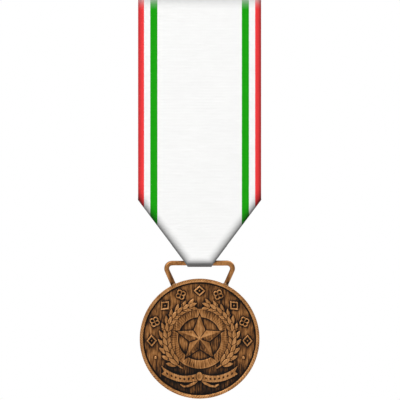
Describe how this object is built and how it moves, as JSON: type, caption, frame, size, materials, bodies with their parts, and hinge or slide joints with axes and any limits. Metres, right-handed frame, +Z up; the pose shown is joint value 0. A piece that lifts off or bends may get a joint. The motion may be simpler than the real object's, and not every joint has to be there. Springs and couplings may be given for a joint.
{
  "type": "ribbon-hung bronze service medal",
  "caption": "Struck bronze medal on a wire bail, hung from a folded striped ribbon with a pin brooch on its back.",
  "frame": {"origin": "on the axis of the closed brooch pin, half way across the ribbon", "axes": "+Z up the ribbon, +Y from the medal's front to its back, +X across the ribbon to the right as seen from the front"},
  "size_m": [0.037, 0.0073, 0.1207],
  "materials": {
    "bronze": "struck and patinated bronze, dark in the recesses",
    "bronze_wire": "drawn bronze wire, patinated",
    "solder": "hard solder, toned",
    "ribbon_silk": "ribbed woven silk with red, white and green edge stripes",
    "buckram": "stiffened open-weave cloth",
    "gilt_brass": "satin gilt brass",
    "steel": "drawn and polished steel",
    "thread": "twisted sewing thread"
  },
  "bodies": {
    "ribbon_body": {"ribbon": "ribbon_silk", "ribbon_stiffener": "buckram", "brooch_plate": "gilt_brass", "hinge_bracket": "gilt_brass", "hinge_rivet": "steel", "catch_housing": "gilt_brass", "brooch_stitches": "thread", "overlap_stitches": "thread", "edge_stitches": "thread"},
    "medal": {"medal_disc": "bronze", "suspension_bail": "bronze_wire", "bail_solder": "solder"},
    "pin": {"pin_stem": "steel"},
    "catch": {"catch_roller": "gilt_brass"}
  },
  "joints": [
    {"name": "medal_swing", "type": "hinge", "parent": "ribbon_body", "child": "medal", "pos_m": [0, -0.00355, -0.075], "axis": [1, 0, 0], "range_deg": [-150, 150]},
    {"name": "pin_open", "type": "hinge", "parent": "ribbon_body", "child": "pin", "pos_m": [-0.013, 0, 0], "axis": [0, 0, 1], "range_deg": [0, 130]},
    {"name": "catch_turn", "type": "hinge", "parent": "ribbon_body", "child": "catch", "pos_m": [0.0115, 0, 0], "axis": [1, 0, 0], "range_deg": [0, 75]}
  ]
}
